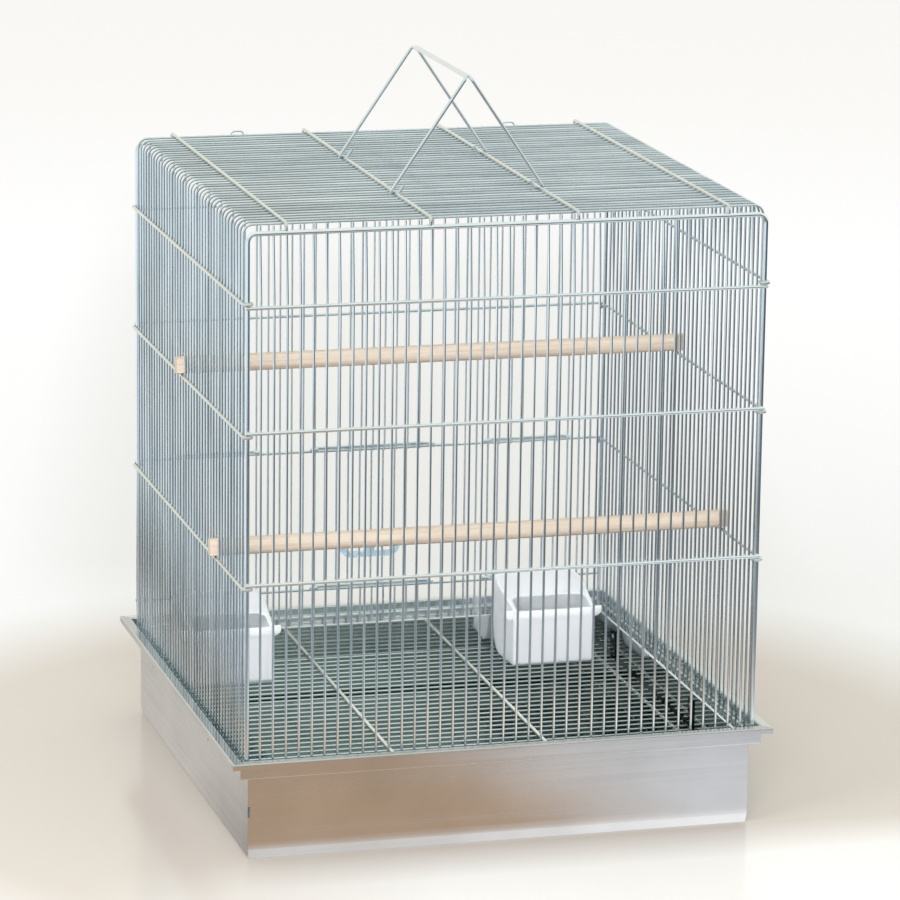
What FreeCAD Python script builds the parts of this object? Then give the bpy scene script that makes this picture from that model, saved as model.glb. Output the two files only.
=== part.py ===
import FreeCAD, Part
import math
import os

# A square wire bird cage on a folded sheet-metal base, in millimetres.
# +Z is up and the origin is the centre of the base's underside. -Y is the plain back wall, +Y the
# front wall with its three lifting doors, and +X is to the right of someone who faces the back wall.

# Wire grid
wire_pitch = 10.9
gap_count_across = 40
gap_count_deep = 40
frame_wire = 4.0
bar_wire = 2.8
fill_wire = 2.0
weld_bite = 0.05
hook_play = 0.1
frame_bend = 7.0
hook_tail = 2.5
lean_bend = 30.0

# Heights of the wire body, above the surface that the base stands on
roof_height = 528.0
frame_drop = 4.5
upper_ring_drop = 64.5
middle_ring_rise = 126.5
doorway_height = 130.0
sill_height = 104.0
bottom_bar_rise = 6.2
ring_step = 3.0

# Folded base
sheet = 0.7
sheet_bend = 0.8
wall_inset = 1.5
shelf_height = 71.0
shelf_reach = 8.0
upstand_rise = 16.2
flange_reach = 8.0
lip_drop = 5.2
lip_notch = 5.5
bevel_height = 8.0
bevel_inset = 1.0
return_reach = 8.0
floor_clear = 2.0
mitre_seam = 0.04
slit_low = 36.0
slit_high = 46.5
slit_width = 1.8
seat_gap = 0.1

# Floor grate and the brackets that carry it
grate_height = 40.0
grate_gap_count = 34
grate_clear = 2.4
grate_end_bar_share = 0.95
grate_bar_shares = (-0.28, 0.36)
bracket_shares = (-0.15, 0.37)
bracket_width = 14.0
bracket_reach = 9.0
bracket_sheet = 1.0
bracket_head = 7.0
rivet_height = 59.0
rivet_shank = 3.0
rivet_head = 5.0
rivet_head_height = 1.0
rivet_play = 0.1

# Roof bars, handle and front eyes: shares of the cage's width, and the numbers of the hoops behind the legs
roof_bar_shares = (-0.428, -0.154, 0.131, 0.426)
eye_shares = (-0.292, 0.283)
eye_wire = 1.8
eye_width = 11.0
eye_height = 7.9
eye_bend = 3.0
bail_wire = 2.8
bail_leg = 112.0
bail_corner = 4.0
bail_tail = 9.0
bail_play = 0.3
bail_meeting_gap = 0.2
bail_back_hoop_number = 10
bail_front_hoop_number = 26

# Lifting doors: the numbers of the front wires that they slide on
left_door_guide_numbers = (3, 10)
centre_door_guide_numbers = (15, 25)
right_door_guide_numbers = (30, 37)
door_play = 0.45
door_rest_gap = 0.1

# Pull on the centre door
pull_width = 58.0
pull_height = 24.0
pull_depth = 4.0
pull_border = 5.0
pull_post = 8.0
pull_foot_above_sill = 27.0
pull_clip_width = 5.0
pull_clip_play = 0.1

# Perches: the number of the hoop behind the gap that each one's tongues pass through
perch_diameter = 15.0
perch_overhang = 7.4
perch_shoulder_gap = 0.6
tongue_play = 0.35
upper_perch_hoop_number = 21
lower_perch_hoop_number = 9

# Feeder cups
cup_wall = 1.8
cup_near_width = 76.0
cup_back_width = 83.0
cup_foot_depth = 54.0
cup_rim_depth = 66.0
cup_rim_height = 51.0
cup_hood_rise = 20.0
cup_mouth = 26.0
cup_mouth_bend = 8.0
cup_cheek = 3.0
cup_back_gap = 5.5
cup_lip_height = 7.5
cup_lip_reach = 1.2
cup_ear_reach = 8.0
cup_ear_height = 9.0
cup_ear_depth = 3.0
cup_ear_bend = 6.0
cup_corner = 4.0
cup_foot_bend = 4.0
cup_heel_bend = 16.0
cup_hood_bend = 10.0
cup_place_shares = (-0.338, 0.3533)

# Cuts run past what they cut by this much, and no straight run is shorter than least_run
overrun = 5.0
least_run = 0.0001

# Worked out from the sizes above
frame_radius = frame_wire / 2
bar_radius = bar_wire / 2
fill_radius = fill_wire / 2
cage_width = wire_pitch * gap_count_across
cage_depth = wire_pitch * gap_count_deep
half_width = cage_width / 2
half_depth = cage_depth / 2
hook_radius = frame_radius + hook_play + bar_radius
hoop_rise = frame_radius + hook_play + weld_bite - fill_radius
fill_offset = frame_radius - fill_radius
bar_offset = frame_radius + bar_radius - weld_bite
wall_out = -wall_inset
wall_in = wall_out - sheet
upstand_out = wall_out + shelf_reach
lip_out = upstand_out + flange_reach
foot_out = wall_out - bevel_inset
rim_height = shelf_height + upstand_rise
wire_foot = shelf_height + sheet + seat_gap
wire_head = roof_height + hoop_rise
frame_top = roof_height - frame_drop
lower_ring = sill_height + doorway_height
middle_ring = lower_ring + middle_ring_rise
upper_ring = roof_height - upper_ring_drop
bottom_bar = wire_foot + bottom_bar_rise
side_rings = (bottom_bar - ring_step, lower_ring - ring_step, middle_ring - ring_step,
              upper_ring + ring_step)
roof_bar_height = roof_height + hook_radius
grate_top = grate_height + fill_radius


def vec(x, y, z):
    return FreeCAD.Vector(x, y, z)


def line(start, end):
    return Part.LineSegment(start, end).toShape()


def bent_edges(points, radii):
    """Straight runs through the points, with a tangent arc of the given radius at each inner point."""
    edges = []
    here = points[0]
    for before, corner, after, radius in zip(points, points[1:], points[2:], radii):
        back = (before - corner).normalize()
        ahead = (after - corner).normalize()
        half_turn = (math.pi - back.getAngle(ahead)) / 2
        reach = radius * math.tan(half_turn)
        start = corner + back * reach
        end = corner + ahead * reach
        to_arc = radius / math.cos(half_turn) - radius
        middle = corner + (back + ahead).normalize() * to_arc
        if here.distanceToPoint(start) > least_run:
            edges.append(line(here, start))
        if radius > 0:
            edges.append(Part.Arc(start, middle, end).toShape())
        here = end
    edges.append(line(here, points[-1]))
    return edges


def rod(start, end, diameter):
    """A straight round wire."""
    run = end - start
    return Part.makeCylinder(diameter / 2, run.Length, start, run)


def bent_wire(points, radii, diameter):
    """A round wire bent along the points."""
    path = Part.Wire(bent_edges(points, radii))
    section = Part.Wire(Part.makeCircle(diameter / 2, points[0], points[1] - points[0]))
    return path.makePipeShell([section], True, False)


def group(shapes):
    return Part.makeCompound(shapes)


def box(low, high):
    size = high - low
    return Part.makeBox(size.x, size.y, size.z, low)


def prism(points, run):
    """A flat outline pushed along run."""
    return Part.Face(Part.makePolygon(points + points[:1])).extrude(run)


def rounded_face(points, radii):
    """A flat face whose corners are rounded, each by its own radius."""
    start = (points[0] + points[-1]) / 2
    return Part.Face(Part.Wire(bent_edges([start] + points + [start], radii)))


def turned(shape, degrees):
    copy = shape.copy()
    copy.rotate(vec(0, 0, 0), vec(0, 0, 1), degrees)
    return copy


def across(number):
    """X of a wire of the back or front wall, counted from the left upright."""
    return number * wire_pitch - half_width


def along(number):
    """Y of a hoop, counted from the back wall."""
    return number * wire_pitch - half_depth


def mid_gap(number):
    """Y of the middle of the gap in front of a hoop."""
    return (along(number) + along(number + 1)) / 2


# Folded base

def moved_left(points, distance):
    """An open outline of (out, up) points moved to its left, with sharp corners."""
    normals = []
    for (a, b), (c, d) in zip(points, points[1:]):
        length = math.hypot(c - a, d - b)
        normals.append(((b - d) / length, (c - a) / length))
    joined = [normals[0]]
    for (a, b), (c, d) in zip(normals, normals[1:]):
        share = 1 / (1 + a * c + b * d)
        joined.append(((a + c) * share, (b + d) * share))
    joined.append(normals[-1])
    return [(x + n * distance, z + m * distance) for (x, z), (n, m) in zip(points, joined)]


def turns_left(points):
    """For each inner point of the outline, whether it bends to the left there."""
    turns = []
    for (a, b), (c, d), (e, f) in zip(points, points[1:], points[2:]):
        turns.append((c - a) * (f - d) - (d - b) * (e - c) > 0)
    return turns


def wall_section(half_out):
    """The folded sheet's section: foot return, bevel, wall, shelf, upstand, flange and lip."""
    under = [
        (foot_out - return_reach, 0),
        (foot_out, 0),
        (wall_out, bevel_height),
        (wall_out, shelf_height),
        (upstand_out, shelf_height),
        (upstand_out, rim_height - sheet),
        (lip_out - sheet, rim_height - sheet),
        (lip_out - sheet, rim_height - lip_drop),
    ]
    over = moved_left(under, sheet)
    lefts = turns_left(under)
    under_radii = [sheet_bend + sheet if left else sheet_bend for left in lefts]
    over_radii = [sheet_bend if left else sheet_bend + sheet for left in lefts]
    under_points = [vec(0, -half_out - out, up) for out, up in under]
    over_points = [vec(0, -half_out - out, up) for out, up in over]
    edges = bent_edges(under_points, under_radii)
    edges.append(line(under_points[-1], over_points[-1]))
    edges.extend(bent_edges(over_points[::-1], over_radii[::-1]))
    edges.append(line(over_points[0], under_points[0]))
    return Part.Face(Part.Wire(Part.__sortEdges__(edges)))


def base_wall(half_run, half_out):
    """One wall of the base, along X with its outside to -Y, mitred at both ends."""
    reach = lip_out + overrun
    depth = foot_out - return_reach - overrun
    length = 2 * (half_run + reach)
    section = wall_section(half_out)
    section.translate(vec(-length / 2, 0, 0))
    bar = section.extrude(vec(length, 0, 0))
    outline = []
    for side, out in ((-1, reach), (1, reach), (1, depth), (-1, depth)):
        outline.append(vec(side * (half_run + out - mitre_seam), -half_out - out, -overrun))
    return bar.common(prism(outline, vec(0, 0, rim_height + 2 * overrun)))


def notched_wall(wall, half_run, half_out):
    """The wall with its lip stopped short of both ends, so that the lips of its neighbours run past it."""
    for side in (-1, 1):
        xs = sorted((side * (half_run + lip_out - lip_notch), side * (half_run + lip_out + overrun)))
        low = vec(xs[0], -half_out - lip_out - overrun, rim_height - lip_drop - overrun)
        high = vec(xs[1], -half_out - lip_out + sheet + sheet_bend, rim_height - sheet)
        wall = wall.cut(box(low, high))
    return wall


def slit_wall(wall, half_run, half_out):
    """The wall with a narrow relief slit at its left end, as someone outside sees it."""
    low = vec(-half_run - overrun, -half_out - overrun, slit_low)
    high = vec(-half_run - wall_out + slit_width, -half_out - wall_in + overrun, slit_high)
    return wall.cut(box(low, high))


def rivet_places():
    places = []
    for side in (-1, 1):
        for share in bracket_shares:
            places.append((side, share * cage_depth))
    return places


def rivet_hole(side, y):
    start = half_width + wall_in - bracket_sheet - overrun
    end = half_width + wall_out + overrun
    bore = rivet_shank + 2 * rivet_play
    return rod(vec(side * start, y, rivet_height), vec(side * end, y, rivet_height), bore)


def drilled(wall, side):
    for place_side, y in rivet_places():
        if place_side == side:
            wall = wall.cut(rivet_hole(side, y))
    return wall


def base_floor():
    """The flat floor plate, lying on the walls' foot returns."""
    x = half_width + foot_out - floor_clear
    y = half_depth + foot_out - floor_clear
    return box(vec(-x, -y, sheet), vec(x, y, 2 * sheet))


def bracket(side, y):
    """An angle against the inside of a side wall, whose foot carries the grate."""
    wall_face = half_width + wall_in
    seat = grate_height - fill_radius - seat_gap
    half = bracket_width / 2
    plate = box(vec(wall_face - bracket_sheet, y - half, seat - bracket_sheet),
                vec(wall_face, y + half, rivet_height + bracket_head))
    foot = box(vec(wall_face - bracket_reach, y - half, seat - bracket_sheet),
               vec(wall_face, y + half, seat))
    angle = plate.fuse(foot).removeSplitter()
    if side < 0:
        angle = angle.mirror(vec(0, 0, 0), vec(1, 0, 0))
    return angle.cut(rivet_hole(side, y))


def rivet(side, y):
    """A rivet with a low round head outside the wall and a flat one inside the bracket."""
    inside = half_width + wall_in - bracket_sheet
    outside = half_width + wall_out
    shank = rod(vec(side * inside, y, rivet_height), vec(side * outside, y, rivet_height), rivet_shank)
    out_head = Part.makeCone(rivet_head / 2, rivet_shank / 2, rivet_head_height,
                             vec(side * outside, y, rivet_height), vec(side, 0, 0))
    in_head = Part.makeCone(rivet_head / 2, rivet_shank / 2, rivet_head_height,
                            vec(side * inside, y, rivet_height), vec(-side, 0, 0))
    return shank.fuse([out_head, in_head]).removeSplitter()


# Floor grate

def grate_wires():
    """Wires from side to side, evenly spaced between the back and the front of the base."""
    reach = half_width + wall_in - grate_clear
    first = -(half_depth + wall_in - grate_clear)
    step = -2 * first / grate_gap_count
    wires = []
    for number in range(grate_gap_count + 1):
        y = first + number * step
        wires.append(rod(vec(-reach, y, grate_height), vec(reach, y, grate_height), fill_wire))
    return group(wires)


def grate_bars():
    """Bars from back to front: two on top of the grate's wires, and one under each end of them."""
    reach_x = half_width + wall_in - grate_clear
    reach_y = half_depth + wall_in - grate_clear + fill_radius
    rise = fill_radius + bar_radius - weld_bite
    places = [(share * reach_x, grate_height + rise) for share in grate_bar_shares]
    for side in (-1, 1):
        places.append((side * grate_end_bar_share * reach_x, grate_height - rise))
    return group([rod(vec(x, -reach_y, z), vec(x, reach_y, z), bar_wire) for x, z in places])


# Wire body

def panel_frame(y):
    """The thick wire round the back or front wall, bent over a little below the roof."""
    points = [vec(-half_width, y, wire_foot), vec(-half_width, y, frame_top),
              vec(half_width, y, frame_top), vec(half_width, y, wire_foot)]
    return bent_wire(points, [frame_bend, frame_bend], frame_wire)


def panel_bars(side, heights):
    """Bars across the outside of the back (side -1) or front (side 1) wall."""
    y = side * (half_depth + bar_offset)
    x = half_width + frame_radius
    return group([rod(vec(-x, y, z), vec(x, y, z), bar_wire) for z in heights])


def upright_wire(number, side, low, high):
    y = side * (half_depth + fill_offset)
    return rod(vec(across(number), y, low), vec(across(number), y, high), fill_wire)


def headed_wire(number, side, low):
    """A wire that leans in above the upper ring and passes inside the frame's top, up to the hoops' level."""
    x = across(number)
    y = half_depth + fill_offset
    bend_height = upper_ring + bar_wire
    inside = half_depth - frame_radius - fill_radius + weld_bite
    slope = (inside - y) / (frame_top - bend_height)
    head_y = y + slope * (wire_head - bend_height)
    points = [vec(x, side * y, low), vec(x, side * y, bend_height), vec(x, side * head_y, wire_head)]
    return bent_wire(points, [lean_bend], fill_wire)


def back_wires():
    return group([headed_wire(number, -1, wire_foot) for number in range(1, gap_count_across)])


def front_wires():
    """Front wall wires, cut away between the sill and the lower ring where a door covers the gap."""
    openings = (left_door_guide_numbers, centre_door_guide_numbers, right_door_guide_numbers)
    wires = []
    for number in range(1, gap_count_across):
        if any(first < number < last for first, last in openings):
            wires.append(upright_wire(number, 1, wire_foot, sill_height + bar_radius))
            wires.append(headed_wire(number, 1, lower_ring - bar_radius))
        else:
            wires.append(headed_wire(number, 1, wire_foot))
    return group(wires)


def hoop_wires():
    """Thin wires that run up one side, over the roof and down the other side."""
    x = half_width + hoop_rise
    z = roof_height + hoop_rise
    bend = frame_bend + hoop_rise
    hoops = []
    for number in range(1, gap_count_deep):
        y = along(number)
        points = [vec(-x, y, wire_foot), vec(-x, y, z), vec(x, y, z), vec(x, y, wire_foot)]
        hoops.append(bent_wire(points, [bend, bend], fill_wire))
    return group(hoops)


def side_bar(side, z):
    """A bar along the outside of a side wall, hooked round the upright at each end."""
    outer = side * (half_width + hook_radius)
    inner = side * (half_width - hook_radius)
    back = -half_depth - hook_radius
    front = half_depth + hook_radius
    points = [vec(inner, -half_depth + hook_tail, z), vec(inner, back, z), vec(outer, back, z),
              vec(outer, front, z), vec(inner, front, z), vec(inner, half_depth - hook_tail, z)]
    return bent_wire(points, [hook_radius] * 4, bar_wire)


def side_bars(side):
    return group([side_bar(side, z) for z in side_rings])


def roof_bars():
    """Bars from back to front on top of the hoops, their ends turned down onto the frames."""
    foot = frame_top + frame_radius - weld_bite
    bars = []
    for share in roof_bar_shares:
        x = share * cage_width
        points = [vec(x, -half_depth, foot), vec(x, -half_depth, roof_bar_height),
                  vec(x, half_depth, roof_bar_height), vec(x, half_depth, foot)]
        bars.append(bent_wire(points, [hook_radius, hook_radius], bar_wire))
    return group(bars)


def front_eyes():
    """Two small wire eyes that stand on the front frame's top."""
    foot = frame_top + frame_radius
    top = frame_top + eye_height
    eyes = []
    for share in eye_shares:
        left = share * cage_width - eye_width / 2
        right = left + eye_width
        points = [vec(left, half_depth, foot), vec(left, half_depth, top),
                  vec(right, half_depth, top), vec(right, half_depth, foot)]
        eyes.append(bent_wire(points, [eye_bend, eye_bend], eye_wire))
    return group(eyes)


# Handle

def bail(bar_share, other_share):
    """Half of the handle: a wire rectangle hooked on a roof bar, leaning on the other half."""
    pivot_x = bar_share * cage_width
    inward = 1 if other_share > bar_share else -1
    ring = bar_radius + bail_play + bail_wire / 2
    half_span = abs(other_share - bar_share) * cage_width / 2
    run = half_span - (bail_wire + bail_meeting_gap) / 2
    reach = math.hypot(bail_leg, ring)
    lean = math.acos(run / reach) - math.atan2(ring, bail_leg)
    leg_way = vec(inward * math.cos(lean), 0, math.sin(lean))
    outer_way = vec(-inward * math.sin(lean), 0, math.cos(lean))
    pivot = vec(pivot_x, 0, roof_bar_height)

    def place(up, out, y):
        return pivot + leg_way * up + outer_way * out + vec(0, y, 0)

    back = mid_gap(bail_back_hoop_number)
    front = mid_gap(bail_front_hoop_number)
    points = [place(bail_tail, -ring, back), place(-ring, -ring, back), place(-ring, ring, back),
              place(bail_leg, ring, back), place(bail_leg, ring, front),
              place(-ring, ring, front), place(-ring, -ring, front), place(bail_tail, -ring, front)]
    return bent_wire(points, [ring, ring, bail_corner, bail_corner, ring, ring], bail_wire)


# Lifting doors

door_loop = fill_radius + door_play + bar_radius
door_bar_y = half_depth + fill_offset + door_loop
door_wire_y = door_bar_y + bar_radius + fill_radius - weld_bite
door_low = sill_height + bar_wire + door_rest_gap
door_high = lower_ring + bar_wire + door_rest_gap


def door_bar(guides, z):
    """A door's top or bottom bar, its ends looped round the two guide wires."""
    left = across(guides[0])
    right = across(guides[1])
    inner = door_bar_y - 2 * door_loop
    points = [vec(left + hook_tail, inner, z), vec(left - door_loop, inner, z),
              vec(left - door_loop, door_bar_y, z), vec(right + door_loop, door_bar_y, z),
              vec(right + door_loop, inner, z), vec(right - hook_tail, inner, z)]
    return bent_wire(points, [door_loop] * 4, bar_wire)


def door_bars(guides):
    return group([door_bar(guides, door_low), door_bar(guides, door_high)])


def door_wires(guides):
    wires = []
    for number in range(guides[0] + 1, guides[1]):
        x = across(number)
        wires.append(rod(vec(x, door_wire_y, door_low - bar_radius),
                         vec(x, door_wire_y, door_high + bar_radius), fill_wire))
    return group(wires)


def door_pull():
    """A moulded pull with two finger windows, clipped on two wires of the centre door."""
    middle = (across(centre_door_guide_numbers[0]) + across(centre_door_guide_numbers[1])) / 2
    half = pull_width / 2
    low = sill_height + pull_foot_above_sill
    high = low + pull_height
    face = door_wire_y + fill_radius
    outline = [vec(middle - half, face, high), vec(middle - half, face, low),
               vec(middle + half, face, low), vec(middle + half, face, high)]
    corner = pull_height / 2 - least_run
    body = rounded_face(outline, [corner] * 4).extrude(vec(0, pull_depth, 0))
    window_inner = pull_post / 2
    window_outer = half - pull_border
    window_bend = corner - pull_border
    for side in (-1, 1):
        points = [vec(middle + side * window_inner, face - overrun, high - pull_border),
                  vec(middle + side * window_outer, face - overrun, high - pull_border),
                  vec(middle + side * window_outer, face - overrun, low + pull_border),
                  vec(middle + side * window_inner, face - overrun, low + pull_border)]
        window = rounded_face(points, [0, window_bend, window_bend, 0])
        body = body.cut(window.extrude(vec(0, pull_depth + 2 * overrun, 0)))
    first = (centre_door_guide_numbers[0] + centre_door_guide_numbers[1]) // 2
    for number in (first - 1, first + 1):
        x = across(number)
        slot = fill_radius + pull_clip_play
        clip = box(vec(x - pull_clip_width / 2, door_wire_y - fill_radius, high - pull_border),
                   vec(x + pull_clip_width / 2, face + pull_depth, high))
        way = box(vec(x - slot, door_wire_y - fill_radius - overrun, low),
                  vec(x + slot, face, high + overrun))
        body = body.fuse(clip.cut(way))
    return body.removeSplitter()


# Perches

def perch(hoop_number, ring):
    """A round dowel whose flat end tongues pass between two hoops and lie on the side bars."""
    radius = perch_diameter / 2
    y = mid_gap(hoop_number)
    z = ring + bar_radius + seat_gap + radius
    shoulder = half_width + hoop_rise - fill_radius - perch_shoulder_gap
    end = half_width + hoop_rise + perch_overhang
    half_tongue = (wire_pitch - fill_wire) / 2 - tongue_play
    dowel = rod(vec(-end, y, z), vec(end, y, z), perch_diameter)
    for side in (-1, 1):
        for flank in (-1, 1):
            xs = sorted((side * shoulder, side * (end + overrun)))
            ys = sorted((flank * half_tongue, flank * (radius + overrun)))
            low = vec(xs[0], y + ys[0], z - radius - overrun)
            high = vec(xs[1], y + ys[1], z + radius + overrun)
            dowel = dowel.cut(box(low, high))
    return dowel


# Feeder cups

def cup_form(centre_x, inset):
    """The cup's outer form, or its hollow when inset is the wall's thickness."""
    back = half_depth - cup_back_gap
    near = back - cup_rim_depth
    foot = grate_top + seat_gap
    rim = foot + cup_rim_height
    side = [vec(0, near, foot), vec(0, near + cup_foot_depth, foot), vec(0, back, rim),
            vec(0, back, rim + cup_hood_rise), vec(0, near, rim)]
    plan = [vec(centre_x - cup_near_width / 2, near, 0), vec(centre_x + cup_near_width / 2, near, 0),
            vec(centre_x + cup_back_width / 2, back, 0), vec(centre_x - cup_back_width / 2, back, 0)]
    half = cup_back_width / 2
    front = [vec(centre_x - half, 0, foot), vec(centre_x + half, 0, foot),
             vec(centre_x + half, 0, rim + cup_hood_rise), vec(centre_x - half, 0, rim + cup_hood_rise)]
    faces = [rounded_face(side, [cup_foot_bend, cup_heel_bend, 0, 0, 0]),
             rounded_face(plan, [cup_corner] * 4),
             rounded_face(front, [0, 0, cup_hood_bend, cup_hood_bend])]
    if inset > 0:
        faces = [face.makeOffset2D(-inset, 2) for face in faces]
    side_face, plan_face, front_face = faces
    side_face.translate(vec(centre_x - cup_back_width, 0, 0))
    wide = side_face.extrude(vec(2 * cup_back_width, 0, 0))
    tall = plan_face.extrude(vec(0, 0, rim + cup_hood_rise + overrun))
    deep = front_face.extrude(vec(0, half_depth, 0))
    return wide.common(tall).common(deep)


def cup(share):
    """A hooded cup with a lip along its near edge and an ear at each end of the lip."""
    centre_x = share * cage_width
    back = half_depth - cup_back_gap
    near = back - cup_rim_depth
    rim = grate_top + seat_gap + cup_rim_height
    half = cup_near_width / 2
    shell = cup_form(centre_x, 0)
    lip_half = half - cup_corner
    lip = box(vec(centre_x - lip_half, near - cup_lip_reach, rim - cup_lip_height),
              vec(centre_x + lip_half, near + cup_wall, rim))
    ears = []
    for side in (-1, 1):
        outer = centre_x + side * (half + cup_ear_reach)
        root = centre_x + side * (half - cup_wall)
        points = [vec(root, near, rim), vec(outer, near, rim), vec(outer, near, rim - cup_ear_height),
                  vec(root, near, rim - cup_ear_height)]
        ear = rounded_face(points, [0, 0, cup_ear_bend, 0])
        ear.translate(vec(0, cup_corner, 0))
        ears.append(ear.extrude(vec(0, cup_ear_depth, 0)))
    hollow = cup_form(centre_x, cup_wall)
    inner = half - cup_cheek
    low = rim - cup_lip_height
    outline = [vec(centre_x - inner, near + cup_wall, low), vec(centre_x + inner, near + cup_wall, low),
               vec(centre_x + inner, near + cup_mouth, low), vec(centre_x - inner, near + cup_mouth, low)]
    mouth = rounded_face(outline, [0, 0, cup_mouth_bend, cup_mouth_bend])
    mouth = mouth.extrude(vec(0, 0, cup_lip_height + cup_hood_rise))
    return shell.fuse([lip] + ears).cut(hollow).cut(mouth).removeSplitter()


def make_parts():
    long_wall = base_wall(half_width, half_depth)
    side_wall = notched_wall(base_wall(half_depth, half_width), half_depth, half_width)
    back_wall = slit_wall(long_wall, half_width, half_depth)
    left_wall = slit_wall(side_wall, half_depth, half_width)
    rings = (bottom_bar, lower_ring, middle_ring, upper_ring)
    left_bar, right_bar = roof_bar_shares[1:3]
    places = rivet_places()
    return {
        "base_floor": base_floor(),
        "base_back_wall": back_wall,
        "base_front_wall": turned(long_wall, 180),
        "base_left_wall": drilled(turned(left_wall, -90), -1),
        "base_right_wall": drilled(turned(side_wall, 90), 1),
        "grate_brackets": group([bracket(side, y) for side, y in places]),
        "bracket_rivets": group([rivet(side, y) for side, y in places]),
        "grate_wires": grate_wires(),
        "grate_bars": grate_bars(),
        "back_frame": panel_frame(-half_depth),
        "back_wires": back_wires(),
        "back_bars": panel_bars(-1, rings),
        "front_frame": panel_frame(half_depth),
        "front_wires": front_wires(),
        "front_bars": panel_bars(1, rings + (sill_height,)),
        "hoop_wires": hoop_wires(),
        "left_side_bars": side_bars(-1),
        "right_side_bars": side_bars(1),
        "roof_bars": roof_bars(),
        "front_eyes": front_eyes(),
        "left_bail": bail(left_bar, right_bar),
        "right_bail": bail(right_bar, left_bar),
        "left_door_bars": door_bars(left_door_guide_numbers),
        "left_door_wires": door_wires(left_door_guide_numbers),
        "centre_door_bars": door_bars(centre_door_guide_numbers),
        "centre_door_wires": door_wires(centre_door_guide_numbers),
        "right_door_bars": door_bars(right_door_guide_numbers),
        "right_door_wires": door_wires(right_door_guide_numbers),
        "door_pull": door_pull(),
        "upper_perch": perch(upper_perch_hoop_number, side_rings[2]),
        "lower_perch": perch(lower_perch_hoop_number, side_rings[1]),
        "left_cup": cup(cup_place_shares[0]),
        "right_cup": cup(cup_place_shares[1]),
    }


os.makedirs("parts", exist_ok=True)
for name, shape in make_parts().items():
    shape.exportStep(f"parts/{name}.step")
    print(f"{name}: {len(shape.Solids)} solids, valid {shape.isValid()}, {shape.Volume:.1f} mm3")
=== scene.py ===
"""Dresses the bird cage: metal, wood and plastic finishes, weld spots, a pale floor and soft studio light.

Everything is in metres, in the cage's own frame: +Z is up, and -Y runs towards the plain back wall, which
faces the camera.
"""
import math

import bmesh
import bpy
from mathutils import Matrix, Vector


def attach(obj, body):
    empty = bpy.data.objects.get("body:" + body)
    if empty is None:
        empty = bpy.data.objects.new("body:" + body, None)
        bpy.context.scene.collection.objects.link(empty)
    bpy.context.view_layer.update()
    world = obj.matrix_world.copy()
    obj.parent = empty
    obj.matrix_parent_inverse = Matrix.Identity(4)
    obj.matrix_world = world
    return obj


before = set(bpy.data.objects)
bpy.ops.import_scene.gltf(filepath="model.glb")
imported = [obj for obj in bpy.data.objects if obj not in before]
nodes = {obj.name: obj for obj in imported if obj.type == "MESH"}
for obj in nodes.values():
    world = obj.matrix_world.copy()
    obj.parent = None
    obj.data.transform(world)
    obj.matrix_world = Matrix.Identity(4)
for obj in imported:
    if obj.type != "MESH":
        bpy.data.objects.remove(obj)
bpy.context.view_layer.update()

MM = 0.001
X, Y, Z = range(3)

# Camera, fitted to the photograph: place, turns in radians, lens and reach
CAMERA_PLACE = (-1.02865, -3.73697, 1.21512)
CAMERA_YAW = 0.2716
CAMERA_PITCH = 0.2356
CAMERA_ROLL = 0.0128
CAMERA_REACH = 100.0
FOCAL_PIXELS = 4612.19
PICTURE_PIXELS = 900
SENSOR_MM = 36.0

# Noise values that stand for the least and the greatest roughness, and for the dark and the light tone
NOISE_RANGE = (0.25, 0.75)
TONE_RANGE = (0.3, 0.7)

# Noise detail and the strength of its finer layers
GRAIN_DETAIL = (4.0, 0.55)
STREAK_DETAIL = (5.0, 0.6)
WOOD_DETAIL = (6.0, 0.65)
CLOUD_DETAIL = (3.0, 0.5)
SOFT_DETAIL = (2.0, 0.5)

# Noise repeats per metre along X, Y and Z
WIRE_GRAIN = (40.0, 40.0, 25.0)
WIRE_PITS = (150.0, 150.0, 150.0)
SHEET_CLOUDS = (14.0, 14.0, 14.0)
PAN_CLOUDS = (9.0, 9.0, 9.0)
WOOD_GRAIN = (9.0, 420.0, 420.0)
CUP_CLOUDS = (60.0, 60.0, 60.0)
CUP_PITS = (700.0, 700.0, 700.0)
PULL_CLOUDS = (120.0, 120.0, 120.0)
# Fine across the wires, so that each has its own tone, and slow along them
HOOP_GRAIN = (7.0, 95.0, 7.0)
UPRIGHT_GRAIN = (95.0, 30.0, 7.0)
# Rolling marks, long in the direction of the wall
STREAKS_ALONG_X = (3.0, 260.0, 260.0)
STREAKS_ALONG_Y = (260.0, 3.0, 260.0)

# Bumps: strength and depth
WIRE_BUMP = (0.03, 0.04 * MM)
SHEET_BUMP = (0.1, 0.05 * MM)
WOOD_BUMP = (0.25, 0.15 * MM)
CUP_BUMP = (0.05, 0.1 * MM)

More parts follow.
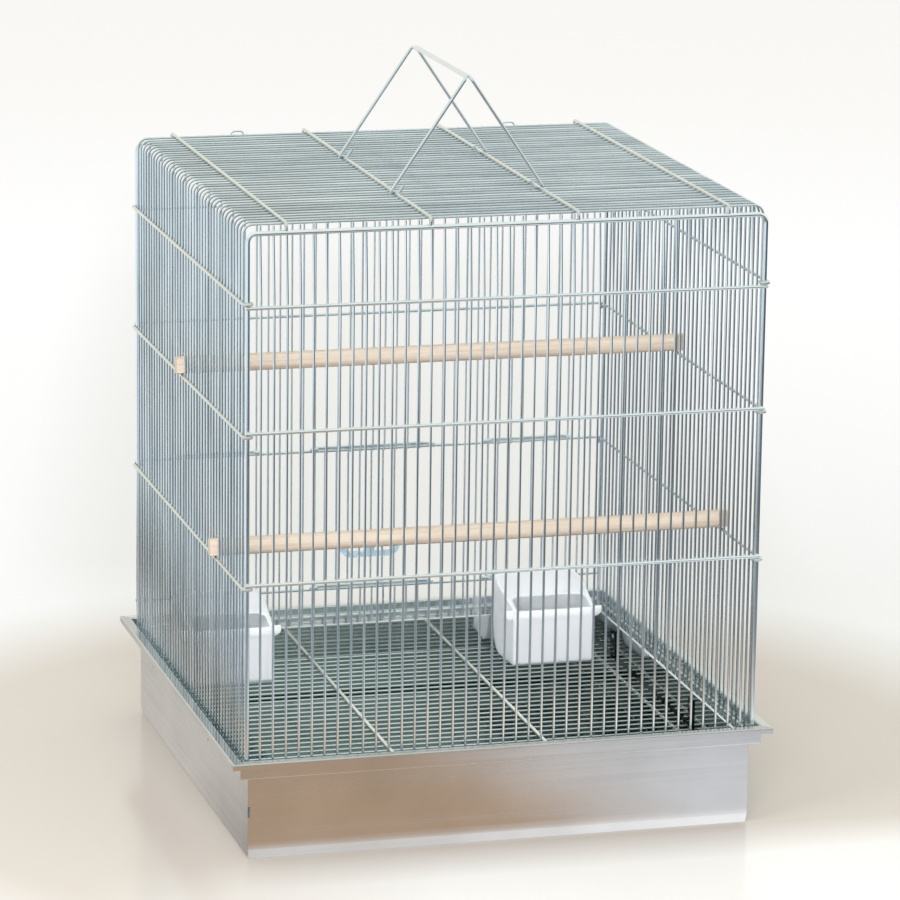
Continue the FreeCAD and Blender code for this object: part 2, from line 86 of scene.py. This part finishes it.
# Zinc-plated wire: dark tone, light tone, range of roughness, grain, and share of the tones kept on the
# right, which is below 1 where painted shade darkens the wire towards the cage's right
ZINC = {
    "zinc_hoop": ((0.47, 0.53, 0.57), (0.80, 0.87, 0.91), (0.12, 0.2), HOOP_GRAIN, 1.0),
    "zinc_back": ((0.68, 0.73, 0.76), (0.96, 0.98, 0.99), (0.07, 0.12), UPRIGHT_GRAIN, 1.0),
    "zinc_front": ((0.70, 0.78, 0.84), (0.95, 0.99, 1.0), (0.4, 0.5), UPRIGHT_GRAIN, 1.0),
    "zinc_bar": ((0.78, 0.84, 0.88), (0.86, 0.91, 0.95), (0.14, 0.22), WIRE_GRAIN, 1.0),
    "zinc_bail": ((0.68, 0.74, 0.78), (0.76, 0.81, 0.85), (0.14, 0.22), WIRE_GRAIN, 1.0),
    "zinc_cream": ((0.66, 0.69, 0.66), (0.76, 0.79, 0.76), (0.2, 0.3), WIRE_GRAIN, 1.0),
    "zinc_grate_bar": ((0.95, 0.92, 0.86), (1.0, 0.97, 0.91), (0.4, 0.5), WIRE_GRAIN, 1.0),
    # Grate wires: painted shade darkens them to 0.62 of their tones towards the cage's right
    "zinc_grate": ((0.60, 0.70, 0.70), (0.75, 0.84, 0.84), (0.16, 0.26), WIRE_GRAIN, 0.62),
}
# Where along X the painted shade on the cage's right begins and where it is full
RIGHT_SHADE_RANGE = (0.0, 0.19)

# Sheet of the base walls: rolling marks, outward direction, and how much brighter the inside is painted, as
# painted light on the front and right walls
SHEETS = {
    "sheet_back": (STREAKS_ALONG_X, (0.0, -1.0, 0.0), 1.0),
    "sheet_front": (STREAKS_ALONG_X, (0.0, 1.0, 0.0), 1.5),
    "sheet_left": (STREAKS_ALONG_Y, (-1.0, 0.0, 0.0), 1.0),
    "sheet_right": (STREAKS_ALONG_Y, (1.0, 0.0, 0.0), 1.4),
}
SHEET_OUTSIDE = ((0.54, 0.53, 0.52), (0.61, 0.60, 0.60))
# Painted highlight on the inward faces of the rim's channel
SHEET_CHANNEL_HIGHLIGHT = ((0.82, 0.85, 0.87), (0.90, 0.92, 0.94))
# Inside tones: painted shade, darker than the same sheet outside
SHEET_INSIDE_SHADE = ((0.40, 0.42, 0.42), (0.47, 0.49, 0.49))
SHEET_OUTSIDE_ROUGH = (0.15, 0.33)
SHEET_INSIDE_ROUGH = (0.05, 0.09)
# Cosines of the angle to the outward direction, over which the outer finish and the painted highlight on the
# channel's inward faces come in
OUTWARD_TURN = (0.0, 0.4)
HIGHLIGHT_INWARD_TURN = (0.2, -0.2)
# The rim's channel that the wire body stands in: heights of its floor and of its open top
CHANNEL_FOOT = 71.0 * MM
CHANNEL_HEAD = 86.8 * MM
CHANNEL_EDGE = 0.4 * MM

# Floor plate, wood and plastics
# Floor plate: dark tones as a painted reflection of the grate's shaded underside, and darker on the right as
# painted shade
PAN_SHADE_LEFT = ((0.17, 0.21, 0.21), (0.24, 0.29, 0.29))
PAN_SHADE_RIGHT = ((0.03, 0.04, 0.04), (0.06, 0.07, 0.07))
PAN_ROUGH = (0.07, 0.13)
WOOD_TONES = [
    (0.25, (0.32, 0.24, 0.17)),
    (0.45, (0.41, 0.33, 0.26)),
    (0.62, (0.445, 0.375, 0.295)),
    (0.8, (0.38, 0.30, 0.22)),
]
WOOD_ROUGH = (0.55, 0.7)
CUP_TONES = ((0.905, 0.925, 1.0), (0.925, 0.945, 1.0))
CUP_ROUGH = (0.28, 0.4)
CUP_SCATTER = (0.9, 0.95, 1.0)
CUP_SCATTER_DEPTH = 20.0 * MM
PULL_TONES = ((0.56, 0.71, 0.79), (0.66, 0.79, 0.86))
PULL_ROUGH = (0.18, 0.28)
PULL_CLEARNESS = 0.6
PULL_IOR = 1.49

# The CAD pieces that have each finish
FINISHES = {
    "zinc_hoop": ["hoop_wires"],
    "zinc_back": ["back_wires"],
    "zinc_front": ["front_wires", "front_bars", "front_eyes", "left_door_wires", "left_door_bars",
                   "centre_door_wires", "centre_door_bars", "right_door_wires", "right_door_bars"],
    "zinc_bar": ["back_frame", "front_frame", "back_bars"],
    "zinc_bail": ["left_bail", "right_bail"],
    "zinc_cream": ["left_side_bars", "right_side_bars", "roof_bars"],
    "zinc_grate": ["grate_wires"],
    "zinc_grate_bar": ["grate_bars"],
    "sheet_back": ["base_back_wall"],
    "sheet_front": ["base_front_wall"],
    "sheet_left": ["base_left_wall", "bracket_rivets"],
    "sheet_right": ["base_right_wall"],
    "sheet_floor": ["base_floor", "grate_brackets"],
    "perch_wood": ["upper_perch", "lower_perch"],
    "cup_plastic": ["left_cup", "right_cup"],
    "pull_plastic": ["door_pull"],
}

# Weld spots: size, facets, how far past a wire's end a bar may lie, and the gap closed in a wire's own mesh
WELD_RADIUS = 0.95 * MM
WELD_HEIGHT = 0.4 * MM
WELD_SIDES = 8
WELD_RINGS = 4
WELD_MARGIN = 2 * MM
SEAM_GAP = 0.001 * MM

# Turn about Z, in radians, that brings the floor's Y close to the line of sight
SIGHT_TURN = 0.2321

# Floor: size, gloss, and paint by the share of FLOOR_REACH from the middle
FLOOR_RADIUS = 14.0
FLOOR_SIDES = 96
FLOOR_REACH = 4.0
FLOOR_ROUGHNESS = 0.16
FLOOR_PAINT = [(0.115, (0.42, 0.365, 0.32)), (0.16, (0.60, 0.585, 0.59)), (0.6, (0.82, 0.79, 0.85))]
# A little glow further out
FLOOR_GLOW_RANGE = (0.12, 0.5)
FLOOR_GLOW = 0.06
# Painted light on the floor on the camera's side, apart from its left: edges along Y and across the line of
# sight
FRONT_LIGHT_PAINT = (0.60, 0.565, 0.54)
FRONT_LIGHT_DEPTH = (-0.222, -0.30)
FRONT_LIGHT_SIDE = (-0.3, 0.0)
# Painted shadow straight behind the cage, as darker floor paint: edges across the line of sight, and its near
# and far edges along it
SHADOW_PAINT = [(0.16, (0.535, 0.512, 0.51)), (0.6, (0.66, 0.645, 0.68))]
SHADOW_SIDE = (0.42, 0.30)
SHADOW_NEAR = (0.45, 0.7)
SHADOW_FAR = (3.0, 2.1)

# The room that the metal mirrors below the horizon. Close by: tones along a stretch of Y, warmer on the left
CLOSE_DEPTH = (-1.0, 1.0)
CLOSE_BEHIND = [(0.405, (0.48, 0.45, 0.415)), (0.52, (0.74, 0.71, 0.66))]
CLOSE_LEFT = [(0.385, (0.66, 0.48, 0.33))] + CLOSE_BEHIND
CLOSE_RIGHT = [(0.385, (0.99, 1.02, 1.06))] + CLOSE_BEHIND
CLOSE_SIDE = (0.09, 0.25)
# A bright strip at the back wall's foot: its edges along Y, its tones and where along X they change
STRIP_NEAR = (-0.247, -0.241)
STRIP_FAR = (-0.206, -0.214)
STRIP_LEFT = (1.0, 0.99, 0.97)
STRIP_RIGHT = (1.5, 1.52, 1.55)
STRIP_SIDE = (-0.1, 0.2)
# Further out: tones round the middle, from -X by the camera's side (0.25), +X (0.5) and +Y (0.75)
ROOM_BLUE = (0.86, 1.0, 1.08)
ROOM_DARK = (0.07, 0.08, 0.09)
ROOM_SLATE = (0.15, 0.155, 0.16)
ROOM_WHITE = (1.0, 0.97, 0.90)
ROOM_END = [(0.62, ROOM_WHITE), (0.88, ROOM_WHITE), (1.0, ROOM_BLUE)]
ROOM_MIDDLE = [(0.08, ROOM_BLUE), (0.14, ROOM_SLATE), (0.55, ROOM_SLATE), (0.59, ROOM_BLUE)] + ROOM_END
ROOM_OUTER = [(0.24, ROOM_BLUE), (0.275, ROOM_DARK), (0.53, ROOM_DARK), (0.57, ROOM_BLUE)] + ROOM_END
ROOM_RING = (0.28, 0.33, 0.36)
# Distances over which the ring, the middle and the outer tones come in
RING_START = (0.6, 0.68)
MIDDLE_START = (0.8, 1.15)
OUTER_START = (1.7, 2.3)

# Surroundings above the horizon: tones by how far a direction leans along Y, and the sky further up
LEVEL_RANGE = (-1.0, 1.0)
LEVEL_TONES = [
    (0.06, (0.72, 0.74, 0.72)),
    (0.3, (0.78, 0.83, 0.84)),
    (0.5, (0.75, 0.85, 0.90)),
    (0.85, (1.0, 0.95, 0.86)),
]
SKY = (0.92, 0.98, 0.92)
SKY_START = (0.15, 0.45)

# Area lights: place, target, width and height, watts, colour
LIGHTS = {
    "overhead": ((0.0, 0.2, 2.6), (0.0, 0.0, 0.2), (2.6, 2.6), 24.0, (1.0, 0.99, 0.97)),
    "front_key": ((-0.7, -2.8, 1.0), (0.0, 0.0, 0.2), (1.6, 1.2), 128.0, (0.94, 0.975, 1.04)),
    "left_front": ((-2.2, -1.2, 1.6), (0.0, 0.0, 0.3), (1.2, 1.6), 44.0, (0.93, 0.97, 1.06)),
}


# Shader helpers

def new_material(name, metallic=0.0):
    material = bpy.data.materials.new(name)
    material.use_nodes = True
    tree = material.node_tree
    shader = tree.nodes["Principled BSDF"]
    shader.inputs["Metallic"].default_value = metallic
    return material, tree, shader


def texture_place(tree):
    """The texture coordinates: Object gives places in the cage's own frame, in metres."""
    return tree.nodes.new("ShaderNodeTexCoord").outputs


def parts(tree, vector):
    """A vector's X, Y and Z."""
    node = tree.nodes.new("ShaderNodeSeparateXYZ")
    tree.links.new(vector, node.inputs["Vector"])
    return node.outputs


def turned(tree, place):
    """Floor places turned so that Y runs close to the line of sight."""
    node = tree.nodes.new("ShaderNodeMapping")
    node.inputs["Rotation"].default_value = (0.0, 0.0, SIGHT_TURN)
    tree.links.new(place, node.inputs["Vector"])
    return node.outputs["Vector"]


def noise(tree, repeats, detail=GRAIN_DETAIL):
    mapping = tree.nodes.new("ShaderNodeMapping")
    mapping.inputs["Scale"].default_value = repeats
    texture = tree.nodes.new("ShaderNodeTexNoise")
    texture.inputs["Scale"].default_value = 1.0
    texture.inputs["Detail"].default_value = detail[0]
    texture.inputs["Roughness"].default_value = detail[1]
    tree.links.new(texture_place(tree)["Object"], mapping.inputs["Vector"])
    tree.links.new(mapping.outputs["Vector"], texture.inputs["Vector"])
    return texture.outputs["Fac"]


def maths(tree, operation, *values):
    node = tree.nodes.new("ShaderNodeMath")
    node.operation = operation
    for socket, value in zip(node.inputs, values):
        tree.links.new(value, socket)
    return node.outputs["Value"]


def length(tree, vector):
    node = tree.nodes.new("ShaderNodeVectorMath")
    node.operation = "LENGTH"
    tree.links.new(vector, node.inputs[0])
    return node.outputs["Value"]


def map_range(tree, value, start, end, low=0.0, high=1.0):
    """Maps start to end onto low to high, and keeps to those beyond them."""
    node = tree.nodes.new("ShaderNodeMapRange")
    node.inputs["From Min"].default_value = start
    node.inputs["From Max"].default_value = end
    node.inputs["To Min"].default_value = low
    node.inputs["To Max"].default_value = high
    tree.links.new(value, node.inputs["Value"])
    return node.outputs["Result"]


def spread(tree, value, limits):
    """Maps the middle half of a noise value onto the limits."""
    return map_range(tree, value, *NOISE_RANGE, *limits)


def right_shade_mask(tree):
    """0 on the cage's left half, rising to 1 near its right wall: the mask of the painted shade on the cage's
    right.
    """
    return map_range(tree, parts(tree, texture_place(tree)["Object"])["X"], *RIGHT_SHADE_RANGE)


def colours(tree, value, stops):
    """Turns a value into a colour through a ramp of (position, colour) stops."""
    ramp = tree.nodes.new("ShaderNodeValToRGB")
    elements = ramp.color_ramp.elements
    while len(elements) < len(stops):
        elements.new(0.5)
    for element, (position, colour) in zip(elements, stops):
        element.position = position
        element.color = (*colour, 1.0)
    tree.links.new(value, ramp.inputs["Fac"])
    return ramp.outputs["Color"]


def two_tone(tree, value, tones, share=1.0):
    """Blends a dark and a light tone by a noise value; share scales both."""
    scaled = [tuple(share * part for part in tone) for tone in tones]
    return colours(tree, value, list(zip(TONE_RANGE, scaled)))


def mixed_colours(tree, factor, first, second):
    """Blends two colours, each an output or a plain tuple."""
    node = tree.nodes.new("ShaderNodeMix")
    node.data_type = "RGBA"
    tree.links.new(factor, node.inputs["Factor"])
    for name, colour in (("A", first), ("B", second)):
        socket = [one for one in node.inputs if one.name == name and one.type == "RGBA"][0]
        if isinstance(colour, tuple):
            socket.default_value = (*colour, 1.0)
        else:
            tree.links.new(colour, socket)
    return [one for one in node.outputs if one.type == "RGBA"][0]


def surface(tree, shader, colour, rough):
    tree.links.new(colour, shader.inputs["Base Color"])
    tree.links.new(rough, shader.inputs["Roughness"])


def bumped(tree, shader, height, strength, depth):
    bump = tree.nodes.new("ShaderNodeBump")
    bump.inputs["Strength"].default_value = strength
    bump.inputs["Distance"].default_value = depth
    tree.links.new(height, bump.inputs["Height"])
    tree.links.new(bump.outputs["Normal"], shader.inputs["Normal"])


# Materials

def wire_material(name, dark, light, rough, grain, right_shade_share):
    """Zinc-plated wire with dull and bright stretches; the last argument darkens it towards the cage's right
    side as painted shade.
    """
    material, tree, shader = new_material(name, metallic=1.0)
    patches = noise(tree, grain)
    zinc = two_tone(tree, patches, (dark, light))
    # Painted shade: the tones scaled down towards the cage's right
    if right_shade_share < 1.0:
        zinc = mixed_colours(tree, right_shade_mask(tree), zinc, two_tone(tree, patches, (dark, light), right_shade_share))
    surface(tree, shader, zinc, spread(tree, patches, rough))
    bumped(tree, shader, noise(tree, WIRE_PITS), *WIRE_BUMP)
    return material


def sheet_material(name, streaks, outward, inside_light_share):
    """Rolled bright sheet: satin outside and in the rim's channel, mirror-like inside and on top; the inside
    is painted darker as painted shade, and brighter on some walls as painted light.

    In the channel the faces that look inward carry a painted highlight, the brightest tone.
    """
    material, tree, shader = new_material(name, metallic=1.0)
    rolled = noise(tree, streaks, STREAK_DETAIL)
    clouds = noise(tree, SHEET_CLOUDS, CLOUD_DETAIL)
    place = texture_place(tree)
    facing = tree.nodes.new("ShaderNodeVectorMath")
    facing.operation = "DOT_PRODUCT"
    facing.inputs[1].default_value = outward
    tree.links.new(place["Normal"], facing.inputs[0])
    turn = facing.outputs["Value"]
    height = parts(tree, place["Object"])["Z"]
    channel = maths(tree, "MULTIPLY",
                    map_range(tree, height, CHANNEL_FOOT - CHANNEL_EDGE, CHANNEL_FOOT),
                    map_range(tree, height, CHANNEL_HEAD, CHANNEL_HEAD - CHANNEL_EDGE))
    # Painted highlight: the channel's inward faces
    channel_highlight = maths(tree, "MULTIPLY", channel, map_range(tree, turn, *HIGHLIGHT_INWARD_TURN))
    satin = maths(tree, "MAXIMUM", map_range(tree, turn, *OUTWARD_TURN), channel)
    satin_tone = mixed_colours(tree, channel_highlight, two_tone(tree, clouds, SHEET_OUTSIDE),
                               two_tone(tree, clouds, SHEET_CHANNEL_HIGHLIGHT))
    # Painted shade inside the tray, brightened per wall as painted light
    inside_shade_tone = two_tone(tree, clouds, SHEET_INSIDE_SHADE, inside_light_share)
    rough = tree.nodes.new("ShaderNodeMix")
    tree.links.new(satin, rough.inputs["Factor"])
    tree.links.new(spread(tree, rolled, SHEET_INSIDE_ROUGH), rough.inputs["A"])
    tree.links.new(spread(tree, rolled, SHEET_OUTSIDE_ROUGH), rough.inputs["B"])
    surface(tree, shader, mixed_colours(tree, satin, inside_shade_tone, satin_tone), rough.outputs["Result"])
    bumped(tree, shader, rolled, *SHEET_BUMP)
    return material


def pan_material(name):
    """The floor plate under the grate: the same sheet, painted dark as a painted reflection of the grate's
    shaded underside, and darker still towards the right as painted shade.
    """
    material, tree, shader = new_material(name, metallic=1.0)
    clouds = noise(tree, PAN_CLOUDS, CLOUD_DETAIL)
    left = two_tone(tree, clouds, PAN_SHADE_LEFT)
    right = two_tone(tree, clouds, PAN_SHADE_RIGHT)
    # Painted shade: the plate darker towards the cage's right
    surface(tree, shader, mixed_colours(tree, right_shade_mask(tree), left, right), spread(tree, clouds, PAN_ROUGH))
    return material


def wood_material(name):
    """Pale turned dowel with fine grain along its length."""
    material, tree, shader = new_material(name)
    grain = noise(tree, WOOD_GRAIN, WOOD_DETAIL)
    surface(tree, shader, colours(tree, grain, WOOD_TONES), spread(tree, grain, WOOD_ROUGH))
    bumped(tree, shader, grain, *WOOD_BUMP)
    return material


def cup_material(name):
    """White moulded plastic, slightly translucent."""
    material, tree, shader = new_material(name)
    clouds = noise(tree, CUP_CLOUDS, CLOUD_DETAIL)
    surface(tree, shader, two_tone(tree, clouds, CUP_TONES), spread(tree, clouds, CUP_ROUGH))
    shader.inputs["Subsurface Weight"].default_value = 1.0
    shader.inputs["Subsurface Radius"].default_value = CUP_SCATTER
    shader.inputs["Subsurface Scale"].default_value = CUP_SCATTER_DEPTH
    bumped(tree, shader, noise(tree, CUP_PITS), *CUP_BUMP)
    return material


def pull_material(name):
    """Light blue translucent plastic."""
    material, tree, shader = new_material(name)
    clouds = noise(tree, PULL_CLOUDS, SOFT_DETAIL)
    surface(tree, shader, two_tone(tree, clouds, PULL_TONES), spread(tree, clouds, PULL_ROUGH))
    shader.inputs["Transmission Weight"].default_value = PULL_CLEARNESS
    shader.inputs["IOR"].default_value = PULL_IOR
    return material


def room_colour(tree, place):
    """What the metal mirrors: tan and pale floor close by, then a dim ring, then a bright room.

    The room is dark from the camera's side round to the right.
    """
    flat = parts(tree, place)
    depth = map_range(tree, flat["Y"], *CLOSE_DEPTH)
    sideways = parts(tree, turned(tree, place))["X"]
    close = mixed_colours(tree, map_range(tree, sideways, *CLOSE_SIDE),
                          colours(tree, depth, CLOSE_LEFT), colours(tree, depth, CLOSE_RIGHT))
    strip = maths(tree, "MULTIPLY",
                  map_range(tree, flat["Y"], *STRIP_NEAR),
                  map_range(tree, flat["Y"], *STRIP_FAR))
    strip_tone = mixed_colours(tree, map_range(tree, flat["X"], *STRIP_SIDE), STRIP_LEFT, STRIP_RIGHT)
    close = mixed_colours(tree, strip, close, strip_tone)
    angle = tree.nodes.new("ShaderNodeTexGradient")
    angle.gradient_type = "RADIAL"
    tree.links.new(place, angle.inputs["Vector"])
    away = length(tree, place)
    room = mixed_colours(tree, map_range(tree, away, *RING_START), close, ROOM_RING)
    for start, stops in ((MIDDLE_START, ROOM_MIDDLE), (OUTER_START, ROOM_OUTER)):
        further = colours(tree, angle.outputs["Fac"], stops)
        room = mixed_colours(tree, map_range(tree, away, *start), room, further)
    return room


def floor_colour(tree, place, outward):
    """Cream round the cage and white further out; painted light on the camera's side and a painted shadow
    straight behind.
    """
    sighted = parts(tree, turned(tree, place))
    behind = maths(tree, "MULTIPLY",
                   map_range(tree, sighted["Y"], *SHADOW_NEAR),
                   map_range(tree, sighted["Y"], *SHADOW_FAR))
    between = map_range(tree, maths(tree, "ABSOLUTE", sighted["X"]), *SHADOW_SIDE)
    # Painted shadow: the floor darker straight behind the cage
    shadow_mask = maths(tree, "MULTIPLY", between, behind)
    paint = mixed_colours(tree, shadow_mask, colours(tree, outward, FLOOR_PAINT), colours(tree, outward, SHADOW_PAINT))
    # Painted light: the floor paler on the camera's side
    front_light = maths(tree, "MULTIPLY",
                    map_range(tree, parts(tree, place)["Y"], *FRONT_LIGHT_DEPTH),
                    map_range(tree, sighted["X"], *FRONT_LIGHT_SIDE))
    return mixed_colours(tree, front_light, paint, FRONT_LIGHT_PAINT)


def floor_material():
    """Pale glossy paint; the metal mirrors the room instead of it."""
    material, tree, shader = new_material("floor_paint")
    place = texture_place(tree)["Object"]
    outward = map_range(tree, length(tree, place), 0.0, FLOOR_REACH)
    tree.links.new(floor_colour(tree, place, outward), shader.inputs["Base Color"])
    shader.inputs["Roughness"].default_value = FLOOR_ROUGHNESS
    shader.inputs["Emission Color"].default_value = (1.0, 1.0, 1.0, 1.0)
    glow = map_range(tree, outward, *FLOOR_GLOW_RANGE, high=FLOOR_GLOW)
    tree.links.new(glow, shader.inputs["Emission Strength"])
    mirrored = tree.nodes.new("ShaderNodeEmission")
    tree.links.new(room_colour(tree, place), mirrored.inputs["Color"])
    rays = tree.nodes.new("ShaderNodeLightPath")
    chosen = tree.nodes.new("ShaderNodeMixShader")
    tree.links.new(rays.outputs["Is Glossy Ray"], chosen.inputs[0])
    tree.links.new(shader.outputs["BSDF"], chosen.inputs[1])
    tree.links.new(mirrored.outputs["Emission"], chosen.inputs[2])
    tree.links.new(chosen.outputs["Shader"], tree.nodes["Material Output"].inputs["Surface"])
    return material


# Finishes on the CAD pieces

def make_materials():
    """The finishes by name."""
    materials = {name: wire_material(name, *look) for name, look in ZINC.items()}
    for name, look in SHEETS.items():
        materials[name] = sheet_material(name, *look)
    materials["sheet_floor"] = pan_material("sheet_floor")
    materials["perch_wood"] = wood_material("perch_wood")
    materials["cup_plastic"] = cup_material("cup_plastic")
    materials["pull_plastic"] = pull_material("pull_plastic")
    return materials


def finish_pieces(materials):
    for finish, names in FINISHES.items():
        for name in names:
            mesh = nodes[name].data
            mesh.materials.clear()
            mesh.materials.append(materials[finish])


# Weld spots where wires cross

def loose_boxes(node):
    """The (low, high) corners of each separate wire in a CAD node."""
    mesh = bmesh.new()
    mesh.from_mesh(nodes[node].data)
    bmesh.ops.remove_doubles(mesh, verts=mesh.verts, dist=SEAM_GAP)
    boxes = []
    seen = set()
    for vert in mesh.verts:
        if vert in seen:
            continue
        stack = [vert]
        seen.add(vert)
        island = []
        while stack:
            one = stack.pop()
            island.append(one.co.copy())
            for edge in one.link_edges:
                other = edge.other_vert(one)
                if other not in seen:
                    seen.add(other)
                    stack.append(other)
        low = Vector([min(point[axis] for point in island) for axis in (X, Y, Z)])
        high = Vector([max(point[axis] for point in island) for axis in (X, Y, Z)])
        boxes.append((low, high))
    mesh.free()
    return boxes


def middle(box, axis):
    return (box[0][axis] + box[1][axis]) / 2


def crossings(wires, bars, wire_axis, bar_axis, stack_axis):
    """Where each wire, running along wire_axis, meets each bar stacked on it along stack_axis."""
    places = []
    bar_boxes = loose_boxes(bars)
    for wire in loose_boxes(wires):
        for bar in bar_boxes:
            along = middle(bar, wire_axis)
            if not wire[0][wire_axis] - WELD_MARGIN <= along <= wire[1][wire_axis] + WELD_MARGIN:
                continue
            place = Vector((0, 0, 0))
            place[wire_axis] = along
            place[bar_axis] = middle(wire, bar_axis)
            face = wire[1] if middle(bar, stack_axis) > middle(wire, stack_axis) else wire[0]
            place[stack_axis] = face[stack_axis]
            places.append((place, stack_axis))
    return places


def hoop_crossings(hoops, bars, stack_axis, end):
    """Where the hoops meet the bars stacked on their low (end 0) or high (end 1) face along stack_axis."""
    places = []
    bar_boxes = loose_boxes(bars)
    place_axis = Z if stack_axis == X else X
    for hoop in hoops:
        for bar in bar_boxes:
            place = Vector((0, middle(hoop, Y), 0))
            place[stack_axis] = hoop[end][stack_axis]
            place[place_axis] = middle(bar, place_axis)
            places.append((place, stack_axis))
    return places


def spot_template():
    """The points and faces of a round ball of radius 1: rings of points between two poles."""
    points = [Vector((0, 0, 1))]
    for ring in range(1, WELD_RINGS):
        tilt = math.pi * ring / WELD_RINGS
        for side in range(WELD_SIDES):
            turn = 2 * math.pi * side / WELD_SIDES
            reach = math.sin(tilt)
            points.append(Vector((reach * math.cos(turn), reach * math.sin(turn), math.cos(tilt))))
    points.append(Vector((0, 0, -1)))
    low_pole = len(points) - 1
    low_ring = low_pole - WELD_SIDES
    faces = []
    for side in range(WELD_SIDES):
        beside = (side + 1) % WELD_SIDES
        faces.append([0, 1 + side, 1 + beside])
        for upper in range(1, low_ring, WELD_SIDES):
            lower = upper + WELD_SIDES
            faces.append([upper + side, lower + side, lower + beside, upper + beside])
        faces.append([low_ring + side, low_pole, low_ring + beside])
    return points, faces


def weld_piece(name, body, places, material):
    """Low round beads, each flattened along the axis that its two wires are stacked in."""
    ball_points, ball_faces = spot_template()
    points = []
    faces = []
    for place, axis in places:
        scale = Vector((WELD_RADIUS,) * 3)
        scale[axis] = WELD_HEIGHT
        first = len(points)
        points.extend(place + scale * point for point in ball_points)
        faces.extend([first + index for index in face] for face in ball_faces)
    data = bpy.data.meshes.new(name)
    data.from_pydata(points, [], faces)
    data.polygons.foreach_set("use_smooth", [True] * len(faces))
    data.materials.append(material)
    piece = bpy.data.objects.new(name, data)
    bpy.context.scene.collection.objects.link(piece)
    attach(piece, body)


def add_welds(materials):
    bar = materials["zinc_bar"]
    hoops = loose_boxes("hoop_wires")
    body = crossings("back_wires", "back_bars", Z, X, Y)
    body += crossings("front_wires", "front_bars", Z, X, Y)
    body += hoop_crossings(hoops, "left_side_bars", X, 0)
    body += hoop_crossings(hoops, "right_side_bars", X, 1)
    body += hoop_crossings(hoops, "roof_bars", Z, 1)
    weld_piece("cage_welds", "cage", body, bar)
    grate_spots = crossings("grate_wires", "grate_bars", X, Y, Z)
    weld_piece("grate_welds", "grate", grate_spots, materials["zinc_grate"])
    for door in ("left", "centre", "right"):
        spots = crossings(f"{door}_door_wires", f"{door}_door_bars", Z, X, Y)
        weld_piece(f"{door}_door_welds", f"{door}_door", spots, bar)


# Stage

def add_floor():
    mesh = bmesh.new()
    bmesh.ops.create_circle(mesh, cap_ends=True, segments=FLOOR_SIDES, radius=FLOOR_RADIUS)
    data = bpy.data.meshes.new("floor")
    mesh.to_mesh(data)
    mesh.free()
    data.materials.append(floor_material())
    floor = bpy.data.objects.new("floor", data)
    bpy.context.scene.collection.objects.link(floor)


def add_camera():
    yaw = Matrix.Rotation(CAMERA_YAW, 3, "Z")
    pitch = Matrix.Rotation(CAMERA_PITCH, 3, "X")
    roll = Matrix.Rotation(CAMERA_ROLL, 3, "Y")
    right, look, up = roll @ pitch @ yaw
    axes = Matrix((right, up, -look)).transposed()
    data = bpy.data.cameras.new("camera")
    data.sensor_width = SENSOR_MM
    data.lens = FOCAL_PIXELS * SENSOR_MM / PICTURE_PIXELS
    data.clip_end = CAMERA_REACH
    camera = bpy.data.objects.new("camera", data)
    camera.matrix_world = Matrix.Translation(CAMERA_PLACE) @ axes.to_4x4()
    bpy.context.scene.collection.objects.link(camera)
    bpy.context.scene.camera = camera


def add_light(name, place, target, size, power, colour):
    """A soft light that neither the camera nor the metal sees."""
    data = bpy.data.lights.new(name, "AREA")
    data.shape = "RECTANGLE"
    data.size, data.size_y = size
    data.energy = power
    data.color = colour
    light = bpy.data.objects.new(name, data)
    light.location = place
    light.rotation_mode = "QUATERNION"
    light.rotation_quaternion = (Vector(target) - Vector(place)).to_track_quat("-Z", "Y")
    light.visible_camera = False
    light.visible_glossy = False
    bpy.context.scene.collection.objects.link(light)


def add_world():
    """Soft surroundings: warm white beyond the cage, bluish beside it and dimmer behind the camera."""
    world = bpy.data.worlds.new("studio")
    world.use_nodes = True
    tree = world.node_tree
    direction = parts(tree, texture_place(tree)["Generated"])
    level = colours(tree, map_range(tree, direction["Y"], *LEVEL_RANGE), LEVEL_TONES)
    upward = map_range(tree, direction["Z"], *SKY_START)
    background = tree.nodes["Background"]
    background.inputs["Strength"].default_value = 1.0
    tree.links.new(mixed_colours(tree, upward, level, SKY), background.inputs["Color"])
    bpy.context.scene.world = world


def add_stage():
    add_floor()
    add_camera()
    add_world()
    for name, light in LIGHTS.items():
        add_light(name, *light)
    bpy.context.scene.view_settings.view_transform = "Standard"


finishes = make_materials()
finish_pieces(finishes)
add_welds(finishes)
add_stage()
